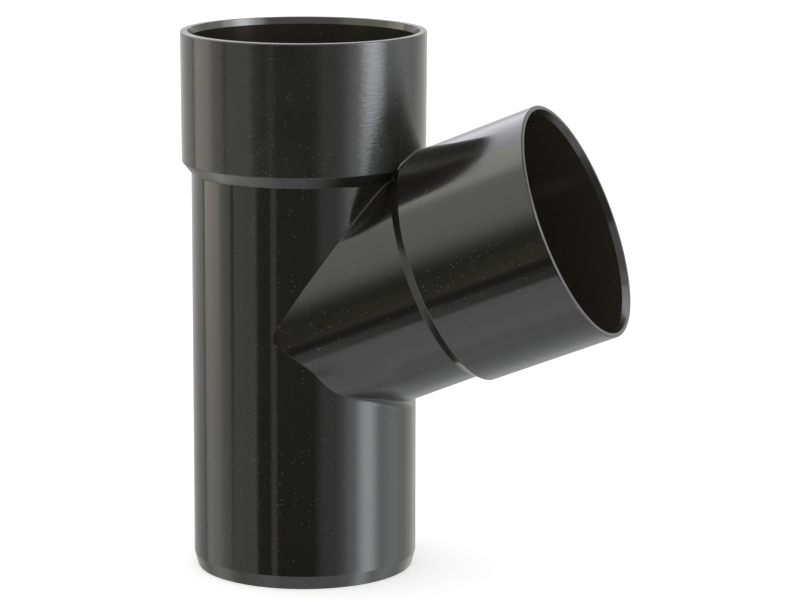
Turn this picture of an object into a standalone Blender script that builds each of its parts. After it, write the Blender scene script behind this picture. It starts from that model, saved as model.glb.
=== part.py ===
"""Pipe branch: one moulded piece that joins a slanted branch pipe to a straight run of drain pipe.

Metres, +Z up. The run stands on its spigot end at z = 0 and the branch leans towards +X, in the
plane y = 0. The origin lies under the middle of the piece. Each arm has a belled socket."""

import math

import bpy

# The pipe that both sockets take, and the spigot that goes into the next socket down
PIPE_DIAMETER = 0.080
SPIGOT_LENGTH = 0.0625
SPIGOT_CHAMFER = 0.005
SPIGOT_CHAMFER_ANGLE = math.radians(15)
SPIGOT_TIP_ROUND = 0.0003

# Wall of the run, and how much slimmer the branch is than the run: its bore, its collar, and its
# body, which narrows from its root to its shoulder
PIPE_WALL = 0.0032
BORE_INSET = 0.0008
COLLAR_INSET = 0.00095
BODY_INSET = 0.0006
ROOT_INSET = 0.00006
BRANCH_ANGLE = math.radians(67.5)

# Sockets: inside
SOCKET_DEPTH = 0.046
SOCKET_CLEARANCE = 0.00015
SOCKET_TAPER = math.radians(0.2)
LEAD_IN_STEP = 0.0008
LEAD_IN_DEPTH = 0.0024

# Sockets: the collar outside
SOCKET_WALL = 0.0032
COLLAR_DRAFT = math.radians(0.33)
RIM_ROUND = 0.0006
SHOULDER_ANGLE = math.radians(39)
SHOULDER_ROUND = 0.0008
SHOULDER_FILLET = 0.0005
RUN_SHOULDER_SETBACK = 0.0002
BRANCH_SHOULDER_SETBACK = 0.0024

# Ledge above the place where the bores meet, and the wall left between the two sockets
RUN_STOP_LEDGE = 0.0042
SOCKET_GAP = 0.0031

# Cutters run this far past a face, and these are the sides of a round and of a rounded edge
OVERRUN = 0.003
ROUND_STEPS = 72
ARC_STEPS = 3
MERGE_DISTANCE = 0.00001
SHARP_ANGLE = math.radians(30)

NAME = "pipe_branch"
COLOUR = (0.016, 0.016, 0.014, 1.0)
ROUGHNESS = 0.22

LEAN_SIN = math.sin(BRANCH_ANGLE)
LEAN_COS = math.cos(BRANCH_ANGLE)

RUN_RADIUS = PIPE_DIAMETER / 2
BRANCH_ROOT = RUN_RADIUS - ROOT_INSET
BRANCH_RADIUS = RUN_RADIUS - BODY_INSET
RUN_BORE = RUN_RADIUS - PIPE_WALL
BRANCH_BORE = RUN_BORE - BORE_INSET
SOCKET_RADIUS = RUN_RADIUS + SOCKET_CLEARANCE
RUN_COLLAR = SOCKET_RADIUS + SOCKET_WALL
BRANCH_COLLAR = RUN_COLLAR - COLLAR_INSET

# Along the branch from the crossing: its socket starts where it is clear of the run's wall
BRANCH_STOP = (RUN_RADIUS + SOCKET_RADIUS * LEAN_COS) / LEAN_SIN + SOCKET_GAP
BRANCH_MOUTH = BRANCH_STOP + SOCKET_DEPTH
BRANCH_SHOULDER = BRANCH_STOP - BRANCH_SHOULDER_SETBACK


def shoulder_foot(shoulder, collar_radius, body_radius):
    """Station where the slope down from a collar reaches the body."""
    return shoulder - (collar_radius - body_radius) / math.tan(SHOULDER_ANGLE)


# The axes cross above the lower crotch, where the underside of the branch leaves the run
BRANCH_FOOT = shoulder_foot(BRANCH_SHOULDER, BRANCH_COLLAR, BRANCH_RADIUS)
BODY_SLOPE = (BRANCH_ROOT - BRANCH_RADIUS) / BRANCH_FOOT
CROTCH_STATION = (RUN_RADIUS - BRANCH_ROOT * LEAN_COS) / (LEAN_SIN - BODY_SLOPE * LEAN_COS)
CROTCH_RADIUS = BRANCH_ROOT - CROTCH_STATION * BODY_SLOPE
AXES_HEIGHT = SPIGOT_LENGTH + CROTCH_RADIUS * LEAN_SIN - CROTCH_STATION * LEAN_COS

# Along the run from the floor: the top of the branch's bore, then the pipe stop, then the mouth
BORES_MEET = (BRANCH_BORE + RUN_BORE * LEAN_COS) / LEAN_SIN
RUN_STOP = AXES_HEIGHT + BORES_MEET + RUN_STOP_LEDGE
RUN_MOUTH = RUN_STOP + SOCKET_DEPTH
RUN_SHOULDER = RUN_STOP - RUN_SHOULDER_SETBACK

# The collars widen from their shoulders to their rims by their draft
RUN_RIM = RUN_COLLAR + (RUN_MOUTH - RUN_SHOULDER) * math.tan(COLLAR_DRAFT)
BRANCH_RIM = BRANCH_COLLAR + (BRANCH_MOUTH - BRANCH_SHOULDER) * math.tan(COLLAR_DRAFT)

# The lowest point of the branch's rim reaches furthest along +X, and the origin is half way
BRANCH_TIP = (
    (BRANCH_MOUTH - RIM_ROUND) * LEAN_SIN
    + (BRANCH_RIM - RIM_ROUND) * LEAN_COS
    + RIM_ROUND
)
RUN_X = (RUN_RIM - BRANCH_TIP) / 2


def rounded(corners):
    """Points of a half section from (radius, height, rounding) corners, with an arc at each rounding."""
    points = []
    for index, (radius, height, rounding) in enumerate(corners):
        if rounding == 0:
            points.append((radius, height))
            continue
        before = corners[index - 1]
        after = corners[index + 1]
        way_in = math.atan2(height - before[1], radius - before[0])
        way_out = math.atan2(after[1] - height, after[0] - radius)
        turn = (way_out - way_in + math.pi) % (2 * math.pi) - math.pi
        side = math.copysign(rounding, turn)
        setback = rounding * math.tan(abs(turn) / 2)
        centre_x = radius - setback * math.cos(way_in) - side * math.sin(way_in)
        centre_y = height - setback * math.sin(way_in) + side * math.cos(way_in)
        for step in range(ARC_STEPS + 1):
            heading = way_in + turn * step / ARC_STEPS
            x = centre_x + side * math.sin(heading)
            y = centre_y - side * math.cos(heading)
            points.append((x, y))
    return points


def collar_corners(mouth, shoulder, rim_radius, collar_radius, body_radius):
    """The belled end of an arm, from the axis at the mouth out and down to the foot of its shoulder."""
    foot = shoulder_foot(shoulder, collar_radius, body_radius)
    return [
        (0.0, mouth, 0.0),
        (rim_radius, mouth, RIM_ROUND),
        (collar_radius, shoulder, SHOULDER_ROUND),
        (body_radius, foot, SHOULDER_FILLET),
    ]


def socket_corners(mouth, stop, bore):
    """The hollow of an arm, from above its mouth down past the lead-in and the pipe stop to its bore."""
    taper = (mouth - stop) * math.tan(SOCKET_TAPER)
    mouth_radius = SOCKET_RADIUS + taper
    lead_in_overrun = OVERRUN * LEAD_IN_STEP / LEAD_IN_DEPTH
    return [
        (0.0, mouth + OVERRUN, 0.0),
        (mouth_radius + LEAD_IN_STEP + lead_in_overrun, mouth + OVERRUN, 0.0),
        (mouth_radius, mouth - LEAD_IN_DEPTH, 0.0),
        (SOCKET_RADIUS, stop, 0.0),
        (bore, stop, 0.0),
    ]


def run_outside():
    """Outer section of the run: collar, straight body, chamfered spigot end."""
    chamfer_depth = SPIGOT_CHAMFER * math.tan(SPIGOT_CHAMFER_ANGLE)
    return collar_corners(RUN_MOUTH, RUN_SHOULDER, RUN_RIM, RUN_COLLAR, RUN_RADIUS) + [
        (RUN_RADIUS, SPIGOT_CHAMFER, 0.0),
        (RUN_RADIUS - chamfer_depth, 0.0, SPIGOT_TIP_ROUND),
        (0.0, 0.0, 0.0),
    ]


def run_hollow():
    return socket_corners(RUN_MOUTH, RUN_STOP, RUN_BORE) + [
        (RUN_BORE, -OVERRUN, 0.0),
        (0.0, -OVERRUN, 0.0),
    ]


def branch_outside():
    """Outer section of the branch: collar, and a body that widens a little towards its root."""
    collar = collar_corners(BRANCH_MOUTH, BRANCH_SHOULDER, BRANCH_RIM, BRANCH_COLLAR, BRANCH_RADIUS)
    return collar + [(BRANCH_ROOT, 0.0, 0.0), (0.0, 0.0, 0.0)]


def branch_hollow():
    return socket_corners(BRANCH_MOUTH, BRANCH_STOP, BRANCH_BORE) + [
        (BRANCH_BORE, 0.0, 0.0),
        (0.0, 0.0, 0.0),
    ]


def turned(name, corners, collection):
    """A solid of revolution about the object's own Z axis, from its outer half section."""
    points = rounded(corners)
    mesh = bpy.data.meshes.new(name)
    vertices = [(radius, 0.0, height) for radius, height in points]
    edges = [(index, index + 1) for index in range(len(points) - 1)]
    mesh.from_pydata(vertices, edges, [])
    turned_object = bpy.data.objects.new(name, mesh)
    collection.objects.link(turned_object)
    screw = turned_object.modifiers.new("turn", "SCREW")
    screw.axis = "Z"
    screw.steps = ROUND_STEPS
    screw.render_steps = ROUND_STEPS
    screw.use_merge_vertices = True
    screw.merge_threshold = MERGE_DISTANCE
    return turned_object


def helper(name, corners, collection):
    """A turned solid that only cuts or joins, and so is never rendered."""
    tool = turned(name, corners, collection)
    tool.hide_render = True
    tool.display_type = "WIRE"
    return tool


def place_on_branch(tool):
    tool.location = (RUN_X, 0.0, AXES_HEIGHT)
    tool.rotation_euler = (0.0, BRANCH_ANGLE, 0.0)


def combine(piece, tool, operation):
    boolean = piece.modifiers.new(tool.name, "BOOLEAN")
    boolean.solver = "EXACT"
    boolean.operation = operation
    boolean.object = tool


def plastic():
    material = bpy.data.materials.new("black_plastic")
    material.use_nodes = True
    shader = material.node_tree.nodes["Principled BSDF"]
    shader.inputs["Base Color"].default_value = COLOUR
    shader.inputs["Roughness"].default_value = ROUGHNESS
    shader.inputs["Metallic"].default_value = 0.0
    material.diffuse_color = COLOUR
    return material


def new_collection(name):
    collection = bpy.data.collections.new(name)
    bpy.context.scene.collection.children.link(collection)
    return collection


def keep_result(piece):
    """Swaps the piece's mesh for its finished one, shaded smooth with its real edges sharp."""
    bpy.context.view_layer.update()
    graph = bpy.context.evaluated_depsgraph_get()
    mesh = bpy.data.meshes.new_from_object(piece.evaluated_get(graph))
    piece.modifiers.clear()
    piece.data = mesh
    mesh.shade_smooth()
    mesh.set_sharp_from_angle(angle=SHARP_ANGLE)


def build():
    for old in list(bpy.data.objects):
        bpy.data.objects.remove(old)
    parts = new_collection(NAME)
    tools = new_collection("cutters")
    piece = turned(NAME, run_outside(), parts)
    piece.location = (RUN_X, 0.0, 0.0)
    branch = helper("branch_outside", branch_outside(), tools)
    place_on_branch(branch)
    run_core = helper("run_hollow", run_hollow(), tools)
    run_core.location = (RUN_X, 0.0, 0.0)
    branch_core = helper("branch_hollow", branch_hollow(), tools)
    place_on_branch(branch_core)
    combine(piece, branch, "UNION")
    combine(piece, run_core, "DIFFERENCE")
    combine(piece, branch_core, "DIFFERENCE")
    keep_result(piece)
    piece.data.materials.clear()
    piece.data.materials.append(plastic())


build()
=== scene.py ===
"""Looks of the pipe branch: one moulded piece of near-black gloss plastic, in a white studio.

Metres, +Z up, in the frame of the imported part. The run stands upright and the branch leans towards
+X in the plane y = 0. Every surface is worked out with numpy as a function of an angle round an arm
and a station along it."""

import math

import bmesh
import bpy
import numpy as np
from mathutils import Matrix, Vector

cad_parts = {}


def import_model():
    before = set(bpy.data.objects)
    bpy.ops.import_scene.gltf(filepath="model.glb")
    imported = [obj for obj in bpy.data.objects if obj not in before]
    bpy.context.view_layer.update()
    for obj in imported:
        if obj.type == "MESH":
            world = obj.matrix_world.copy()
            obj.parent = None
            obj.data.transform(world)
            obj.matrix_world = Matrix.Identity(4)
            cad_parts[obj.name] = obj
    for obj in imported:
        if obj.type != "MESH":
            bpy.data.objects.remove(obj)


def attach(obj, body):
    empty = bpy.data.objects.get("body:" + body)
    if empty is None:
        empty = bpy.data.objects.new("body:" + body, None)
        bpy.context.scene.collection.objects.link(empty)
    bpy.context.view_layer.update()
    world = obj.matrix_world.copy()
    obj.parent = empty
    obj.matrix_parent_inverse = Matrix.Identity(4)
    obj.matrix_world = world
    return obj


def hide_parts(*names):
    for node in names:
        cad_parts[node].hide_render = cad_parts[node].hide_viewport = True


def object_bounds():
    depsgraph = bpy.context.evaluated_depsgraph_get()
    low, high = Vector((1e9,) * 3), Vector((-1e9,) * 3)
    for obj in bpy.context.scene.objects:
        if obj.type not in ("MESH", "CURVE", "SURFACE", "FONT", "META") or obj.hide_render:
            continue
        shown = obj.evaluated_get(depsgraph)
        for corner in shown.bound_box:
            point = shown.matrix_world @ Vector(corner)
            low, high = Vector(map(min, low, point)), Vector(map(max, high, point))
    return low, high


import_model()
cad_low, cad_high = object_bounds()

MM = 0.001

# The moulding, in the sizes that the solid has
BRANCH_ANGLE = math.radians(67.5)
RUN_RADIUS = 40.0 * MM
BRANCH_ROOT = 39.94 * MM
BRANCH_RADIUS = 39.4 * MM
RUN_BORE = 36.8 * MM
BRANCH_BORE = 36.0 * MM
SPIGOT_LENGTH = 62.5 * MM
SPIGOT_CHAMFER = 5.0 * MM
SPIGOT_CHAMFER_ANGLE = math.radians(15)
SOCKET_DEPTH = 46.0 * MM
SOCKET_RADIUS = 40.15 * MM
SOCKET_TAPER = math.radians(0.2)
LEAD_IN_STEP = 0.8 * MM
LEAD_IN_DEPTH = 2.4 * MM
RUN_COLLAR = 43.35 * MM
BRANCH_COLLAR = 42.4 * MM
COLLAR_DRAFT = math.radians(0.33)
SHOULDER_ANGLE = math.radians(39)
RUN_SHOULDER_SETBACK = 0.2 * MM
BRANCH_SHOULDER_SETBACK = 2.4 * MM
RUN_STOP_LEDGE = 4.2 * MM
SOCKET_GAP = 3.1 * MM

# Roundings that a fine surface can carry: rims, tip, shoulders, pipe stops, and where the arms meet
RIM_ROUND = 0.6 * MM
LEAD_IN_ROUND = 0.15 * MM
TIP_ROUND = 0.3 * MM
CHAMFER_ROUND = 0.8 * MM
SHOULDER_ROUND = 0.8 * MM
SHOULDER_FILLET = 0.5 * MM
STOP_ROUND = 0.3 * MM
SIDE_FILLET = 0.7 * MM
CROTCH_FILLET = 4.0 * MM
CROTCH_FILLET_REACH = (math.radians(128), math.radians(152))
BORE_EDGE_ROUND = 0.5 * MM

# The lower sides of the branch stand out where they leave the run: how far, where round the branch,
# and over which length that fades
ROOT_SWELL = 1.7 * MM
SWELL_MIDDLE = math.radians(130)
SWELL_REACH = math.radians(21)
SWELL_FADE = 24.0 * MM
SWELL_END = 46.0 * MM
SWELL_ROWS = 31

LEAN_SIN = math.sin(BRANCH_ANGLE)
LEAN_COS = math.cos(BRANCH_ANGLE)
BRANCH_STOP = (RUN_RADIUS + SOCKET_RADIUS * LEAN_COS) / LEAN_SIN + SOCKET_GAP
BRANCH_MOUTH = BRANCH_STOP + SOCKET_DEPTH
BRANCH_SHOULDER = BRANCH_STOP - BRANCH_SHOULDER_SETBACK
BRANCH_FOOT = BRANCH_SHOULDER - (BRANCH_COLLAR - BRANCH_RADIUS) / math.tan(SHOULDER_ANGLE)
BODY_SLOPE = (BRANCH_ROOT - BRANCH_RADIUS) / BRANCH_FOOT
CROTCH_STATION = (RUN_RADIUS - BRANCH_ROOT * LEAN_COS) / (LEAN_SIN - BODY_SLOPE * LEAN_COS)
CROTCH_RADIUS = BRANCH_ROOT - CROTCH_STATION * BODY_SLOPE
AXES_HEIGHT = SPIGOT_LENGTH + CROTCH_RADIUS * LEAN_SIN - CROTCH_STATION * LEAN_COS
RUN_STOP = AXES_HEIGHT + (BRANCH_BORE + RUN_BORE * LEAN_COS) / LEAN_SIN + RUN_STOP_LEDGE
RUN_MOUTH = RUN_STOP + SOCKET_DEPTH
RUN_SHOULDER = RUN_STOP - RUN_SHOULDER_SETBACK
RUN_FOOT = RUN_SHOULDER - (RUN_COLLAR - RUN_RADIUS) / math.tan(SHOULDER_ANGLE)
RUN_RIM = RUN_COLLAR + (RUN_MOUTH - RUN_SHOULDER) * math.tan(COLLAR_DRAFT)
BRANCH_RIM = BRANCH_COLLAR + (BRANCH_MOUTH - BRANCH_SHOULDER) * math.tan(COLLAR_DRAFT)
RUN_X = cad_low.x + RUN_RIM

# How finely the surfaces are divided
CURVE_SAMPLES = 6001
HOLE_COLUMNS = 96
BACK_COLUMNS = 84
STATION_STEPS = 400
HALVINGS = 40
ARC_STEPS = 6
BLEND_STEPS = 7
TRACE_SMOOTHING = 60
SUPPORT_GAP = 0.1 * MM
EDGE_SUPPORT_GAP = 0.25 * MM
MERGE_DISTANCE = 0.0005 * MM
SHARP_ANGLE = math.radians(28)
MIRROR = np.array([1.0, -1.0, 1.0])

# The plastic: colour, gloss, the fine rings, ripple, haze and dust on it, and a lighter painted light
# colour for its inside
PLASTIC_COLOUR = (0.0094, 0.0090, 0.0072)
PLASTIC_IOR = 1.54
GLOSS_ROUGHNESS = (0.10, 0.12)
COLLAR_ROUGHNESS = (0.20, 0.24)
RING_ANISOTROPY = 1.0
RING_LENGTH = 3.0 * MM
RING_PITCH = 0.8 * MM
RING_DEPTH = 0.004 * MM
COLLAR_RING_DEPTH = 0.065 * MM
RIPPLE_SIZE = 6.0 * MM
RIPPLE_DEPTH = 0.012 * MM
HAZE_SIZE = 9.0 * MM
HAZE_DETAIL = 3.0
HAZE_RANGE = (0.35, 0.65)
# Painted light: the inner side gets a lighter, browner colour that stands in for the light reaching the
# bore through the mouths
INSIDE_PAINTED_LIGHT_COLOUR = (0.028, 0.025, 0.019)
DUST_COLOUR = (0.12, 0.115, 0.098)
DUST_SPACING = 0.9 * MM
DUST_RADIUS = 0.19 * MM
DUST_SHARE = 0.4
ARM_MARGIN = 0.15 * MM

# The floor
FLOOR_REACH = 6.0
FLOOR_COLOUR = (0.88, 0.88, 0.88)
FLOOR_GLOW = 0.45

# The camera, found by fitting the moulding's outlines: its place is counted from the run's axis
LENS = 152.284
SENSOR_WIDTH = 36.0
CLIP_RANGE = (0.05, 50.0)
CAMERA_PLACE = (0.400938, -1.118953, 0.329179)
YAW = math.radians(18.065)
PITCH = math.radians(11.088)
ROLL = math.radians(0.161)


def rounded(corners):
    """Half section as an array of (radius, station) rows: each corner (radius, station, rounding) is
    replaced by the arc of that radius which touches both of its straight sides, with one more point on
    each side just past the arc, so that the straight sides shade straight."""
    points = []
    for index, (radius, station, rounding) in enumerate(corners):
        if rounding == 0:
            points.append((radius, station))
            continue
        before = corners[index - 1]
        after = corners[index + 1]
        way_in = math.atan2(station - before[1], radius - before[0])
        way_out = math.atan2(after[1] - station, after[0] - radius)
        turn = (way_out - way_in + math.pi) % (2 * math.pi) - math.pi
        side = math.copysign(rounding, turn)
        setback = rounding * math.tan(abs(turn) / 2)
        centre_r = radius - setback * math.cos(way_in) - side * math.sin(way_in)
        centre_s = station - setback * math.sin(way_in) + side * math.cos(way_in)
        heading = way_in + turn * np.linspace(0, 1, ARC_STEPS + 1)
        arc = np.column_stack([centre_r + side * np.sin(heading), centre_s - side * np.cos(heading)])
        before_arc = arc[0] - SUPPORT_GAP * np.array([math.cos(way_in), math.sin(way_in)])
        after_arc = arc[-1] + SUPPORT_GAP * np.array([math.cos(way_out), math.sin(way_out)])
        points.extend(map(tuple, [before_arc, *arc, after_arc]))
    return np.array(points)


def collar_section(mouth, rim, shoulder, collar, foot, body_radius):
    """Outer side of a belled end, from inside its rim down to its shoulder's foot."""
    return [
        (lead_in_radius(), mouth, 0),
        (rim, mouth, RIM_ROUND),
        (collar, shoulder, SHOULDER_ROUND),
        (body_radius, foot, SHOULDER_FILLET),
    ]


def lead_in_radius():
    """Radius of a mouth's lead-in: the socket's radius, its taper over its depth, and one step."""
    return SOCKET_RADIUS + SOCKET_DEPTH * math.tan(SOCKET_TAPER) + LEAD_IN_STEP


def run_outer_section():
    """Rim, collar, straight body and chamfered spigot end, from the top down. The first and the last
    corner only give the directions of the rim and the tip, and are left off."""
    tip_radius = RUN_RADIUS - SPIGOT_CHAMFER * math.tan(SPIGOT_CHAMFER_ANGLE)
    return rounded(
        collar_section(RUN_MOUTH, RUN_RIM, RUN_SHOULDER, RUN_COLLAR, RUN_FOOT, RUN_RADIUS)
        + [
            (RUN_RADIUS, SPIGOT_CHAMFER, CHAMFER_ROUND),
            (tip_radius, 0.0, TIP_ROUND),
            (RUN_BORE, 0.0, 0),
        ]
    )[1:-1]


def branch_outer_section():
    """Rim, collar and slightly tapered body of the branch, down past where the axes cross, with close
    rows where the body swells."""
    end = -BRANCH_ROOT
    root = BRANCH_ROOT - end * BODY_SLOPE
    section = rounded(
        collar_section(BRANCH_MOUTH, BRANCH_RIM, BRANCH_SHOULDER, BRANCH_COLLAR, BRANCH_FOOT, BRANCH_RADIUS)
        + [(root, end, 0)]
    )[1:]
    body = np.linspace(SWELL_END, 0, SWELL_ROWS)
    rows = np.column_stack([side_radius(section, body), body])
    return np.vstack([section[:-1], rows, section[-1:]])


def hollow_section(mouth, stop, bore, end):
    """Inside of an arm from its rim: lead-in, tapered socket, pipe stop, bore. The first corner only
    gives the direction of the rim, and is left off."""
    taper_radius = SOCKET_RADIUS + SOCKET_DEPTH * math.tan(SOCKET_TAPER)
    return rounded(
        [
            (BRANCH_RIM - RIM_ROUND, mouth, 0),
            (lead_in_radius(), mouth, LEAD_IN_ROUND),
            (taper_radius, mouth - LEAD_IN_DEPTH, LEAD_IN_ROUND),
            (SOCKET_RADIUS, stop, STOP_ROUND),
            (bore, stop, STOP_ROUND),
            (bore, end, 0),
        ]
    )[1:]


def side_radius(section, station):
    """Radius of a section's side at a station, read along its points."""
    return np.interp(station, section[::-1, 1], section[::-1, 0])


def swelling(angle, station):
    """Share of the swell at a place on the branch: a squared cosine round the branch, times a smooth
    step down along it from where two plain pipes would meet, at minus the cosine of the angle times
    the radius times the tangent of half the angle between the arms."""
    across = np.clip((angle - SWELL_MIDDLE) / SWELL_REACH, -1, 1)
    start = -RUN_RADIUS * math.tan(BRANCH_ANGLE / 2) * np.cos(angle)
    along = np.clip(1 - (station - start) / SWELL_FADE, 0, 1)
    return np.cos(across * math.pi / 2) ** 2 * along**2 * (3 - 2 * along)


def branch_radius(section, swell, angle, station):
    """Radius of the branch's section at a station, with its share of the swell."""
    return side_radius(section, station) + swell * swelling(angle, station)


def branch_point(angle, radius, station):
    """Point of the branch, as seen from the crossing of the axes. The angle runs round the branch's
    axis from its upper side, the station along the axis."""
    up = radius * np.cos(angle)
    return np.stack(
        [station * LEAN_SIN - up * LEAN_COS, radius * np.sin(angle), station * LEAN_COS + up * LEAN_SIN],
        axis=-1,
    )


def trace_meeting(run_section, branch_section, swell, fillets):
    """Half of the curve where the branch leaves the run, and the two curves where its fillet ends.

    On each line along the branch, the outermost step from inside the run to outside it is halved again
    and again, until the branch's radius puts the point on the run's radius at that height. The fillet's
    ends lie to both sides, at its radius over the tangent of half the angle between the walls, measured
    square to the curve on each unrolled wall."""
    angle = np.linspace(0, math.pi, CURVE_SAMPLES)

    def clear_of_run(station):
        radius = branch_radius(branch_section, swell, angle, station)
        point = branch_point(angle, radius, station)
        run_radius = side_radius(run_section, point[..., 2] + AXES_HEIGHT)
        return np.hypot(point[..., 0], point[..., 1]) > run_radius

    stations = np.linspace(0, BRANCH_MOUTH, STATION_STEPS)
    held = ~clear_of_run(stations[:, None] + 0 * angle)
    last_held = STATION_STEPS - 1 - np.argmax(held[::-1], axis=0)
    inside, outside = stations[last_held], stations[last_held + 1]
    for _ in range(HALVINGS):
        station = (inside + outside) / 2
        clear = clear_of_run(station)
        outside = np.where(clear, station, outside)
        inside = np.where(clear, inside, station)
    radius = branch_radius(branch_section, swell, angle, station)
    meeting = branch_point(angle, radius, station)
    turn = np.arctan2(meeting[:, 1], meeting[:, 0])
    height = meeting[:, 2]

    run_normal = np.stack([np.cos(turn), np.sin(turn), 0 * turn], axis=-1)
    branch_normal = branch_point(angle, 1.0, 0.0)
    between = math.pi - np.arccos(np.clip((run_normal * branch_normal).sum(axis=1), -1, 1))
    setback = fillets(angle) / np.tan(between / 2)

    def step_off(across, along, away):
        """Way square to the curve on an unrolled wall, pointing to the side where away is positive."""
        across_step, along_step = smooth_gradient(across), smooth_gradient(along)
        length = np.hypot(across_step, along_step)
        square = np.stack([along_step / length, -across_step / length], axis=-1)
        side = np.sign((square * away).sum(axis=1, keepdims=True))
        return square * np.where(side == 0, 1, side)

    outwards = np.stack([turn * RUN_RADIUS, height - height.mean()], axis=-1)
    run_way = step_off(turn * RUN_RADIUS, height, outwards)
    branch_way = step_off(angle * BRANCH_RADIUS, station, np.array([0.0, 1.0]))
    ends = (angle == 0) | (angle == math.pi)
    run_way[ends, 0] = 0
    branch_way[ends, 0] = 0
    return {
        "angle": angle,
        "meeting": meeting,
        "run_turn": turn + setback * run_way[:, 0] / RUN_RADIUS,
        "run_height": height + setback * run_way[:, 1],
        "branch_angle": angle + setback * branch_way[:, 0] / BRANCH_RADIUS,
        "branch_station": station + setback * branch_way[:, 1],
        "between": between,
    }


def smooth_gradient(values):
    """Slope along the curve, averaged over a short stretch and mirrored at both ends."""
    reach = TRACE_SMOOTHING
    start = 2 * values[0] - values[reach:0:-1]
    finish = 2 * values[-1] - values[-2 : -reach - 2 : -1]
    padded = np.concatenate([start, values, finish])
    return (padded[2 * reach :] - padded[: -2 * reach]) / (2 * reach)


def at(trace, name, where):
    """Value of a traced curve at the given angles of the meeting curve."""
    values = trace[name]
    if values.ndim == 1:
        return np.interp(where, trace["angle"], values)
    return np.stack([np.interp(where, trace["angle"], column) for column in values.T], axis=-1)


def hole_columns(trace):
    """Columns of the run that cross the hole, from the middle plane to its widest place: their turns
    round the run, and the angles of the meeting curve above and below on each."""
    widest = int(np.argmax(trace["run_turn"]))
    fraction = np.sin(np.linspace(0, math.pi / 2, HOLE_COLUMNS + 1))
    turns = trace["run_turn"][widest] * fraction
    upper = np.interp(turns, trace["run_turn"][: widest + 1], trace["angle"][: widest + 1])
    lower = np.interp(turns, trace["run_turn"][widest:][::-1], trace["angle"][widest:][::-1])
    upper[-1] = lower[-1] = trace["angle"][widest]
    return turns, upper, lower


class Surface:
    """Gathers grids of points and their faces, then makes one closed mesh of them."""

    def __init__(self):
        self.points = []
        self.faces = []
        self.inside = []
        self.count = 0
        self.adding_inside = False

    def add(self, points, corners, flip):
        """Points and the faces on them, with each face's corners in reverse where it is flipped."""
        self.points.append(points)
        self.faces.append(self.count + (corners[:, ::-1] if flip else corners))
        self.inside.append(np.full(len(corners), float(self.adding_inside)))
        self.count += len(points)

    def grid(self, points, flip):
        """A grid of points, rows by columns, with a four-sided face between each four neighbours."""
        rows, columns = points.shape[:2]
        index = np.arange(rows * columns).reshape(rows, columns)
        corners = np.stack([index[:-1, :-1], index[:-1, 1:], index[1:, 1:], index[1:, :-1]], axis=-1)
        self.add(points.reshape(-1, 3), corners.reshape(-1, 4), flip)

    def strip(self, first, first_place, second, second_place, flip):
        """Triangles between two rows of points that have their own spacing: each step of one row is
        joined to the last point of the other row that comes before it."""
        before_first = np.searchsorted(second_place, first_place[1:], side="left") - 1
        before_second = np.searchsorted(first_place, second_place[1:], side="right") - 1
        step = np.arange(len(first) - 1)
        other_step = np.arange(len(second) - 1) + len(first)
        on_first = np.stack([step, step + 1, np.maximum(before_first, 0) + len(first)], axis=-1)
        on_second = np.stack([other_step + 1, other_step, before_second], axis=-1)
        self.add(np.concatenate([first, second]), np.concatenate([on_first, on_second]), flip)

    def both_sides(self, points, flip):
        """A grid and its mirror image across the plane y = 0."""
        self.grid(points, flip)
        self.grid(points * MIRROR, not flip)

    def ring(self, first, first_place, second, second_place, flip):
        """A strip between two half rings of points, and its mirror image across the plane y = 0."""
        self.strip(first, first_place, second, second_place, flip)
        self.strip(first * MIRROR, first_place, second * MIRROR, second_place, not flip)

    def mesh(self, name):
        """One mesh of it all, with the points that coincide merged and the real edges sharp."""
        points = np.concatenate(self.points) + np.array([RUN_X, 0.0, AXES_HEIGHT])
        sides = np.concatenate([np.full(len(faces), faces.shape[1]) for faces in self.faces])
        corners = np.concatenate([faces.ravel() for faces in self.faces])
        mesh = bpy.data.meshes.new(name)
        mesh.vertices.add(len(points))
        mesh.vertices.foreach_set("co", points.ravel())
        mesh.loops.add(len(corners))
        mesh.loops.foreach_set("vertex_index", corners)
        mesh.polygons.add(len(sides))
        mesh.polygons.foreach_set("loop_start", np.cumsum(sides) - sides)
        mesh.update(calc_edges=True)
        inside = mesh.attributes.new("inside", "FLOAT", "FACE")
        inside.data.foreach_set("value", np.concatenate(self.inside))
        shape = bmesh.new()
        shape.from_mesh(mesh)
        bmesh.ops.remove_doubles(shape, verts=shape.verts, dist=MERGE_DISTANCE)
        shape.to_mesh(mesh)
        shape.free()
        mesh.validate()
        mesh.shade_smooth()
        mesh.set_sharp_from_angle(angle=SHARP_ANGLE)
        return mesh


def run_point(turn, radius, height):
    """Point of the run, as seen from the crossing of the axes: the radius times the cosine and the
    sine of the turn from +X, at its height."""
    return np.stack([radius * np.cos(turn), radius * np.sin(turn), height], axis=-1)


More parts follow.
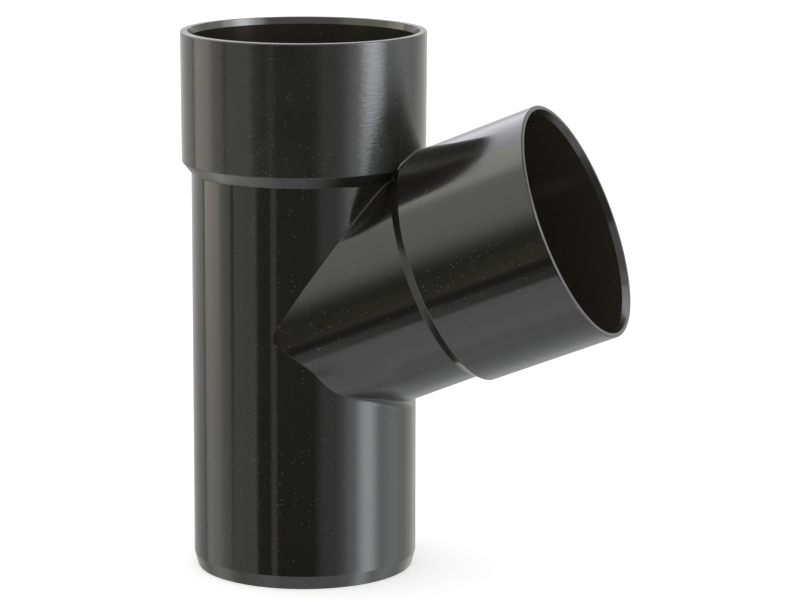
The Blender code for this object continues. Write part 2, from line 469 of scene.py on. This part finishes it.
def run_wall(surface, section, trace, inwards):
    """Wall of the run with the hole for the branch: each column of points stands at one turn round the
    axis, and its rows follow the section down, stopped at the hole's edge above and below it. Behind
    the hole the rows run on round the back."""
    turns, upper, lower = hole_columns(trace)
    radius, height = section[:, :1], section[:, 1:] - AXES_HEIGHT

    def stopped_rows(limited, edge):
        limited_radius = side_radius(section, limited + AXES_HEIGHT)
        rows = run_point(turns + 0 * limited, np.where(limited == height, radius, limited_radius), limited)
        edge_row = run_point(turns, side_radius(section, edge + AXES_HEIGHT), edge)
        return rows, edge_row[None]

    upper_edge = at(trace, "run_height", upper)
    lower_edge = at(trace, "run_height", lower)
    rows, edge_row = stopped_rows(np.maximum(height, upper_edge + EDGE_SUPPORT_GAP), upper_edge)
    surface.both_sides(np.concatenate([rows, edge_row]), flip=not inwards)
    rows, edge_row = stopped_rows(np.minimum(height, lower_edge - EDGE_SUPPORT_GAP), lower_edge)
    surface.both_sides(np.concatenate([edge_row, rows]), flip=not inwards)
    widest = upper_edge[-1] + AXES_HEIGHT
    near = widest + EDGE_SUPPORT_GAP * np.array([1.0, 0.0, -1.0])
    row = int(np.searchsorted(-section[:, 1], -widest))
    rows = np.insert(section, row, np.column_stack([side_radius(section, near), near]), axis=0)
    back = np.linspace(turns[-1], math.pi, BACK_COLUMNS + 1)
    radius, height = rows[:, :1] + 0 * back, rows[:, 1:] - AXES_HEIGHT + 0 * back
    surface.both_sides(run_point(back + 0 * height, radius, height), flip=not inwards)
    return np.concatenate([turns[:-1], back])


def branch_wall(surface, section, swell, trace, where, inwards):
    """Wall of the branch: each column of points keeps its angle round the branch's axis and runs from
    the rim down to the edge where the fillet starts."""
    angle = at(trace, "branch_angle", where)
    edge = at(trace, "branch_station", where)
    radius, station = section[:, :1], section[:, 1:]
    stopped = np.maximum(station, edge + EDGE_SUPPORT_GAP)
    stopped_radius = np.where(stopped == station, radius, side_radius(section, stopped))
    stopped = np.vstack([stopped, edge])
    stopped_radius = np.vstack([stopped_radius, side_radius(section, edge)])
    stopped_radius += swell * swelling(angle, stopped)
    surface.both_sides(branch_point(angle + 0 * stopped, stopped_radius, stopped), flip=inwards)
    return angle


def blend_wall(surface, run_section, branch_section, swell, trace, where, inwards):
    """Round between the two walls: for each place on the meeting curve, the arc that touches both walls
    at the ends found for it, as a rational curve of second order with the meeting point as its middle
    control point, weighted by the sine of half the angle between the walls."""
    run_height = at(trace, "run_height", where)
    start = run_point(
        at(trace, "run_turn", where),
        side_radius(run_section, run_height + AXES_HEIGHT),
        run_height,
    )
    angle = at(trace, "branch_angle", where)
    station = at(trace, "branch_station", where)
    radius = branch_radius(branch_section, swell, angle, station)
    end = branch_point(angle, radius, station)
    middle = at(trace, "meeting", where)
    weight = np.sin(at(trace, "between", where) / 2)[:, None]
    u = np.linspace(0, 1, BLEND_STEPS + 1)[:, None, None]
    share = 2 * u * (1 - u) * weight
    arc = ((1 - u) ** 2 * start + share * middle + u**2 * end) / ((1 - u) ** 2 + share + u**2)
    arc[0], arc[-1] = start, end
    surface.both_sides(arc, flip=not inwards)


def shell_side(surface, run_section, branch_section, swell, fillets, inwards):
    """One side of the moulding's wall, all of it: run, branch and the round between them. It returns
    the turns of the run's columns and the angles of the branch's."""
    trace = trace_meeting(run_section, branch_section, swell, fillets)
    _, upper, lower = hole_columns(trace)
    where = np.concatenate([upper, lower[-2::-1]])
    turns = run_wall(surface, run_section, trace, inwards)
    angles = branch_wall(surface, branch_section, swell, trace, where, inwards)
    blend_wall(surface, run_section, branch_section, swell, trace, where, inwards)
    return turns, angles


def outer_fillet(angle):
    """Fillet radius: small round the upper side and the sides, wider in the crotch under the branch,
    with a smooth step between them along the angle round it."""
    start, end = CROTCH_FILLET_REACH
    share = np.clip((angle - start) / (end - start), 0, 1)
    share = share**2 * (3 - 2 * share)
    return SIDE_FILLET + (CROTCH_FILLET - SIDE_FILLET) * share


def bore_edge_fillet(angle):
    """Fillet radius on the edge where the bores meet, the same at every angle."""
    return np.full_like(angle, BORE_EDGE_ROUND)


def end_rings(surface, outer, inner, run_sections, branch_sections):
    """The flat rings that close the wall: at the two mouths and at the spigot end. Each joins a ring of
    the outer side's columns to a ring of the inner side's."""
    (outer_turns, outer_angles), (inner_turns, inner_angles) = outer, inner
    for row, flip in ((0, False), (-1, True)):
        rings = [
            run_point(turns, section[row, 0], section[row, 1] - AXES_HEIGHT + 0 * turns)
            for turns, section in zip((outer_turns, inner_turns), run_sections)
        ]
        surface.ring(rings[0], outer_turns, rings[1], inner_turns, flip)
    rings = [
        branch_point(angles, section[0, 0], section[0, 1])
        for angles, section in zip((outer_angles, inner_angles), branch_sections)
    ]
    surface.ring(rings[0], outer_angles, rings[1], inner_angles, True)


def moulding():
    """The whole piece: its outer side, its inner side, and the flat rings that join them."""
    surface = Surface()
    run_sections = run_outer_section(), hollow_section(RUN_MOUTH, RUN_STOP, RUN_BORE, 0.0)
    branch_sections = (
        branch_outer_section(),
        hollow_section(BRANCH_MOUTH, BRANCH_STOP, BRANCH_BORE, -BRANCH_BORE),
    )
    outer = shell_side(
        surface, run_sections[0], branch_sections[0], ROOT_SWELL, outer_fillet, inwards=False
    )
    surface.adding_inside = True
    inner = shell_side(
        surface, run_sections[1], branch_sections[1], 0.0, bore_edge_fillet, inwards=True
    )
    surface.adding_inside = False
    end_rings(surface, outer, inner, run_sections, branch_sections)
    piece = bpy.data.objects.new("moulded_branch", surface.mesh("moulded_branch"))
    bpy.context.scene.collection.objects.link(piece)
    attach(piece, "root")
    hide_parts("pipe_branch")
    return piece


def arm_masks(tree, run_place, inside):
    """Two masks. The first is 1 on the branch and 0 on the run: a point belongs to the branch where it
    lies further from the run's axis than the run's own surface at its height. The second is 1 on the
    outside of the run's collar."""
    split = tree.nodes.new("ShaderNodeSeparateXYZ")
    tree.links.new(run_place, split.inputs["Vector"])
    x_square = maths(tree, "POWER", split.outputs["X"], 2)
    y_square = maths(tree, "POWER", split.outputs["Y"], 2)
    from_axis = maths(tree, "SQRT", maths(tree, "ADD", x_square, y_square))
    on_collar = maths(tree, "GREATER_THAN", split.outputs["Z"], RUN_FOOT)
    limit = maths(tree, "MULTIPLY_ADD", on_collar, RUN_RIM - RUN_RADIUS, RUN_RADIUS + ARM_MARGIN)
    branch = maths(tree, "GREATER_THAN", from_axis, limit)
    on_run = maths(tree, "SUBTRACT", 1.0, branch)
    outside = maths(tree, "SUBTRACT", 1.0, inside)
    return branch, maths(tree, "MULTIPLY", maths(tree, "MULTIPLY", on_collar, on_run), outside)


def mapping(tree, vector, location=(0, 0, 0), rotation=(0, 0, 0), scale=(1, 1, 1)):
    """One Mapping node: the vector scaled, then turned, then moved."""
    node = tree.nodes.new("ShaderNodeMapping")
    tree.links.new(vector, node.inputs["Vector"])
    for name, value in (("Location", location), ("Rotation", rotation), ("Scale", scale)):
        node.inputs[name].default_value = value
    return node.outputs["Vector"]


def noise(tree, vector, detail=2.0):
    """One Noise node, with waves about one unit of the vector long."""
    node = tree.nodes.new("ShaderNodeTexNoise")
    tree.links.new(vector, node.inputs["Vector"])
    node.inputs["Scale"].default_value = 1.0
    node.inputs["Detail"].default_value = detail
    return node.outputs["Fac"]


def bump(tree, height, distance):
    """One Bump node at full strength, whose heights from 0 to 1 span the distance."""
    node = tree.nodes.new("ShaderNodeBump")
    node.inputs["Strength"].default_value = 1.0
    node.inputs["Distance"].default_value = distance
    tree.links.new(height, node.inputs["Height"])
    return node


def plastic():
    """Near-black gloss plastic with the marks that a turned mould leaves: fine rings round each arm,
    so that it blurs what it mirrors along the arm more than round it. The run's collar is rougher,
    with deeper rings."""
    material = bpy.data.materials.new("black_gloss_plastic")
    material.use_nodes = True
    tree = material.node_tree
    shader = tree.nodes["Principled BSDF"]
    shader.inputs["IOR"].default_value = PLASTIC_IOR
    shader.inputs["Anisotropic"].default_value = RING_ANISOTROPY
    place = tree.nodes.new("ShaderNodeTexCoord").outputs["Object"]
    attribute = tree.nodes.new("ShaderNodeAttribute")
    attribute.attribute_name = "inside"
    inside = attribute.outputs["Fac"]
    run_place = mapping(tree, place, location=(-RUN_X, 0, 0))
    branch, run_collar = arm_masks(tree, run_place, inside)
    along = mix(tree, "VECTOR", branch, (0, 0, 1), (LEAN_SIN, 0, LEAN_COS))
    tree.links.new(along, shader.inputs["Tangent"])

    branch_place = mapping(tree, run_place, rotation=(0, -BRANCH_ANGLE, 0))
    arm_place = mix(tree, "VECTOR", branch, run_place, branch_place)
    ring_scale = (1 / RING_LENGTH, 1 / RING_LENGTH, 1 / RING_PITCH)
    rings = noise(tree, mapping(tree, arm_place, scale=ring_scale))
    depth_share = mix(tree, "FLOAT", run_collar, RING_DEPTH / COLLAR_RING_DEPTH, 1.0)
    rings = bump(tree, maths(tree, "MULTIPLY", rings, depth_share), COLLAR_RING_DEPTH)
    ripple = noise(tree, mapping(tree, place, scale=[1 / RIPPLE_SIZE] * 3))
    ripple = bump(tree, ripple, RIPPLE_DEPTH)
    tree.links.new(rings.outputs["Normal"], ripple.inputs["Normal"])
    tree.links.new(ripple.outputs["Normal"], shader.inputs["Normal"])

    haze = noise(tree, mapping(tree, place, scale=[1 / HAZE_SIZE] * 3), HAZE_DETAIL)
    step = tree.nodes.new("ShaderNodeMapRange")
    tree.links.new(haze, step.inputs["Value"])
    step.inputs["From Min"].default_value, step.inputs["From Max"].default_value = HAZE_RANGE
    for end, gloss, collar in zip(("To Min", "To Max"), GLOSS_ROUGHNESS, COLLAR_ROUGHNESS):
        tree.links.new(mix(tree, "FLOAT", run_collar, gloss, collar), step.inputs[end])
    tree.links.new(step.outputs["Result"], shader.inputs["Roughness"])

    # Painted light: the inner side is mixed to a lighter colour so that the bore reads as lit through the
    # mouths
    colour = mix_colours(tree, inside, PLASTIC_COLOUR, INSIDE_PAINTED_LIGHT_COLOUR)
    colour = mix_colours(tree, dust_mask(tree, place), colour, DUST_COLOUR)
    tree.links.new(colour, shader.inputs["Base Color"])
    return material


def dust_mask(tree, place):
    """Specks of dust: a small ball round some of the points of a cell pattern, those whose random
    value is high, so that only a share of the cells has one."""
    cells = tree.nodes.new("ShaderNodeTexVoronoi")
    tree.links.new(place, cells.inputs["Vector"])
    cells.inputs["Scale"].default_value = 1 / DUST_SPACING
    chosen = tree.nodes.new("ShaderNodeSeparateColor")
    tree.links.new(cells.outputs["Color"], chosen.inputs["Color"])
    small = maths(tree, "MULTIPLY", chosen.outputs["Green"], DUST_RADIUS / DUST_SPACING)
    near = maths(tree, "LESS_THAN", cells.outputs["Distance"], small)
    picked = maths(tree, "GREATER_THAN", chosen.outputs["Red"], 1 - DUST_SHARE)
    return maths(tree, "MULTIPLY", near, picked)


def studio_floor():
    """Wide pale floor. To the camera it glows a little as well, so that it reads as white with only a
    faint shadow, and the gloss doesn't mirror it."""
    mesh = bpy.data.meshes.new("floor")
    corners = [(-1, -1), (1, -1), (1, 1), (-1, 1)]
    mesh.from_pydata([(x * FLOOR_REACH, y * FLOOR_REACH, 0) for x, y in corners], [], [(0, 1, 2, 3)])
    floor = bpy.data.objects.new("floor", mesh)
    bpy.context.scene.collection.objects.link(floor)
    floor.visible_glossy = False
    material = bpy.data.materials.new("white_floor")
    material.use_nodes = True
    tree = material.node_tree
    shader = tree.nodes["Principled BSDF"]
    shader.inputs["Base Color"].default_value = (*FLOOR_COLOUR, 1)
    shader.inputs["Roughness"].default_value = 1.0
    shader.inputs["Specular IOR Level"].default_value = 0.0
    shader.inputs["Emission Color"].default_value = (1, 1, 1, 1)
    path = tree.nodes.new("ShaderNodeLightPath")
    glow = maths(tree, "MULTIPLY", path.outputs["Is Camera Ray"], FLOOR_GLOW)
    tree.links.new(glow, shader.inputs["Emission Strength"])
    mesh.materials.append(material)


def camera():
    """Camera that looks down by the pitch, turned by the yaw from +Y towards -X and rolled a little."""
    data = bpy.data.cameras.new("camera")
    data.sensor_width = SENSOR_WIDTH
    data.lens = LENS
    data.clip_start, data.clip_end = CLIP_RANGE
    view = bpy.data.objects.new("camera", data)
    bpy.context.scene.collection.objects.link(view)
    view.location = Vector((RUN_X, 0, 0)) + Vector(CAMERA_PLACE)
    level = Vector((-math.sin(YAW), math.cos(YAW), 0))
    forward = level * math.cos(PITCH) - Vector((0, 0, math.sin(PITCH)))
    right = Vector((math.cos(YAW), math.sin(YAW), 0))
    up = right.cross(forward)
    turned_right = right * math.cos(ROLL) + up * math.sin(ROLL)
    turned_up = up * math.cos(ROLL) - right * math.sin(ROLL)
    axes = Matrix((turned_right, turned_up, -forward)).transposed()
    view.rotation_euler = axes.to_euler()
    bpy.context.scene.camera = view


# The studio round the object as its gloss shows it: panels from left to right and from low to high,
# in degrees, with azimuth 0 towards the camera's side of the run and 90 towards the branch. Each has
# the softness of its sides and of its ends, and its radiance. A later panel covers an earlier one.
BACKDROP = (0.95, 0.95, 0.94)
ROOM_LIGHT = (0.9, 0.9, 0.9)
PANELS = {
    "white_table": ((-75, 75), (-100, -36.2), 30, 4, (1.34, 1.35, 1.38)),
    "under_the_object": ((-200, 200), (-100, -79), 1, 12, (0.98, 0.98, 1.0)),
    "back_low_right": ((125, 200), (-85, -30), 20, 10, (0.82, 0.83, 0.85)),
    "back_low_left": ((-200, -165), (-85, -30), 20, 10, (0.82, 0.83, 0.85)),
    "left_low": ((-136, -84), (-75, -42), 16, 10, (1.85, 1.87, 1.7)),
    "left_back_low": ((-200, -107), (-34, -11), 6, 9, (0.62, 0.62, 0.60)),
    "dark_room": ((-31, 62), (-41, 22), 8, 5, (0.14, 0.16, 0.12)),
    "dark_room_low": ((-31, 62), (-41, -14), 8, 4, (0.06, 0.07, 0.07)),
    "white_table_step": ((-31, -10.4), (-60, -37.5), 2.5, 4, (1.34, 1.35, 1.38)),
    "white_table_left": ((-31, -12.0), (-60, -34), 2, 3.5, (1.34, 1.35, 1.38)),
    "dim_wall": ((34, 62), (-41, 22), 14, 5, (0.50, 0.51, 0.53)),
    "left_wall": ((-76, -32), (-41, 20), 7, 5, (0.74, 0.77, 0.67)),
    "left_wall_side": ((-78, -64), (-41, 20), 10, 5, (1.02, 1.0, 0.90)),
    "left_window": ((-76, -22), (9, 80), 12, 34, (1.75, 1.8, 1.62)),
    "left_box_low": ((-98, -74), (-60, 0), 8, 6, (1.35, 1.36, 1.24)),
    "left_box": ((-106, -77), (-10, 80), 6, 6, (2.4, 2.25, 1.95)),
    "left_box_top": ((-112, -68), (30, 80), 14, 25, (3.3, 3.3, 3.05)),
    "back_box": ((-172, -108), (16, 80), 16, 18, (3.0, 3.0, 3.25)),
    "right_fill": ((62, 132), (-41, 60), 26, 20, (1.7, 1.75, 1.75)),
    "right_strip": ((78, 97), (-41, 42), 17, 12, (4.3, 4.45, 4.6)),
    "right_top_wide": ((64, 114), (18, 34), 12, 6, (4.7, 4.7, 4.6)),
    "right_strip_top": ((78, 97), (-6, 35), 17, 8, (9.5, 10.0, 10.5)),
    "left_seam": ((-61, -57), (-13, 12), 2, 2, (0.22, 0.24, 0.18)),
    "far_left_seam": ((-107, -103), (-20, 12), 2, 4, (0.45, 0.45, 0.42)),
    "warm_streak": ((-15, -9), (-24, -4), 3, 6, (0.62, 0.58, 0.42)),
}


def panel_mask_group():
    """Mask of one soft-edged panel: a smooth step up at its left and low edges and down at its right
    and high edges, all four multiplied."""
    group = bpy.data.node_groups.new("panel_mask", "ShaderNodeTree")
    names = ("Azimuth", "Elevation", "Left", "Right", "Low", "High", "Side Softness", "End Softness")
    for name in names:
        group.interface.new_socket(name, in_out="INPUT", socket_type="NodeSocketFloat")
    group.interface.new_socket("Mask", in_out="OUTPUT", socket_type="NodeSocketFloat")
    given = group.nodes.new("NodeGroupInput")
    result = group.nodes.new("NodeGroupOutput")
    mask = None
    for place, edge, softness, rising in (
        ("Azimuth", "Left", "Side Softness", True),
        ("Azimuth", "Right", "Side Softness", False),
        ("Elevation", "Low", "End Softness", True),
        ("Elevation", "High", "End Softness", False),
    ):
        half = maths(group, "MULTIPLY", given.outputs[softness], 0.5)
        step = group.nodes.new("ShaderNodeMapRange")
        step.interpolation_type = "SMOOTHSTEP"
        group.links.new(given.outputs[place], step.inputs["Value"])
        group.links.new(maths(group, "SUBTRACT", given.outputs[edge], half), step.inputs["From Min"])
        group.links.new(maths(group, "ADD", given.outputs[edge], half), step.inputs["From Max"])
        step.inputs["To Min"].default_value = 0.0 if rising else 1.0
        step.inputs["To Max"].default_value = 1.0 if rising else 0.0
        side = step.outputs["Result"]
        mask = side if mask is None else maths(group, "MULTIPLY", mask, side)
    group.links.new(mask, result.inputs["Mask"])
    return group


def feed(tree, socket, value):
    """Gives a node's input its value: a link where the value is another socket, or else the number or
    colour itself."""
    if isinstance(value, bpy.types.NodeSocket):
        tree.links.new(value, socket)
    else:
        socket.default_value = value


def maths(tree, operation, *values):
    """One Math node on sockets or numbers."""
    node = tree.nodes.new("ShaderNodeMath")
    node.operation = operation
    for socket, value in zip(node.inputs, values):
        feed(tree, socket, value)
    return node.outputs["Value"]


def mix(tree, data_type, factor, first, second):
    """One Mix node on sockets or values, from the first at factor 0 to the second at factor 1."""
    node = tree.nodes.new("ShaderNodeMix")
    node.data_type = data_type
    tree.links.new(factor, node.inputs["Factor"])
    ends = [socket for socket in node.inputs if socket.enabled and socket.name in ("A", "B")]
    for socket, value in zip(ends, (first, second)):
        feed(tree, socket, value)
    return next(socket for socket in node.outputs if socket.enabled)


def mix_colours(tree, factor, first, second):
    """A Mix node on colours, each a socket or its three shares."""
    ends = [end if isinstance(end, bpy.types.NodeSocket) else (*end, 1) for end in (first, second)]
    return mix(tree, "RGBA", factor, *ends)


def world():
    """White to the camera, plain soft white on dull surfaces, and the studio's panels in the gloss."""
    scene_world = bpy.data.worlds.new("studio")
    bpy.context.scene.world = scene_world
    scene_world.use_nodes = True
    tree = scene_world.node_tree
    way = tree.nodes.new("ShaderNodeTexCoord")
    split = tree.nodes.new("ShaderNodeSeparateXYZ")
    tree.links.new(way.outputs["Generated"], split.inputs["Vector"])
    towards_camera = maths(tree, "MULTIPLY", split.outputs["Y"], -1.0)
    turn = maths(tree, "ARCTAN2", split.outputs["X"], towards_camera)
    azimuth = maths(tree, "DEGREES", turn)
    elevation = maths(tree, "DEGREES", maths(tree, "ARCSINE", split.outputs["Z"]))
    group = panel_mask_group()
    colour = BACKDROP
    for name, (sides, ends, side_softness, end_softness, radiance) in PANELS.items():
        panel = tree.nodes.new("ShaderNodeGroup")
        panel.node_tree = group
        panel.label = name
        tree.links.new(azimuth, panel.inputs["Azimuth"])
        tree.links.new(elevation, panel.inputs["Elevation"])
        for socket, value in zip(
            ("Left", "Right", "Low", "High", "Side Softness", "End Softness"),
            (*sides, *ends, side_softness, end_softness),
        ):
            panel.inputs[socket].default_value = value
        colour = mix_colours(tree, panel.outputs["Mask"], colour, radiance)
    path = tree.nodes.new("ShaderNodeLightPath")
    seen = mix_colours(tree, path.outputs["Is Glossy Ray"], ROOM_LIGHT, colour)
    seen = mix_colours(tree, path.outputs["Is Camera Ray"], seen, (1.0, 1.0, 1.0))
    tree.links.new(seen, tree.nodes["Background"].inputs["Color"])


piece = moulding()
piece.data.materials.append(plastic())
studio_floor()
world()
camera()
bpy.context.scene.view_settings.view_transform = "Standard"
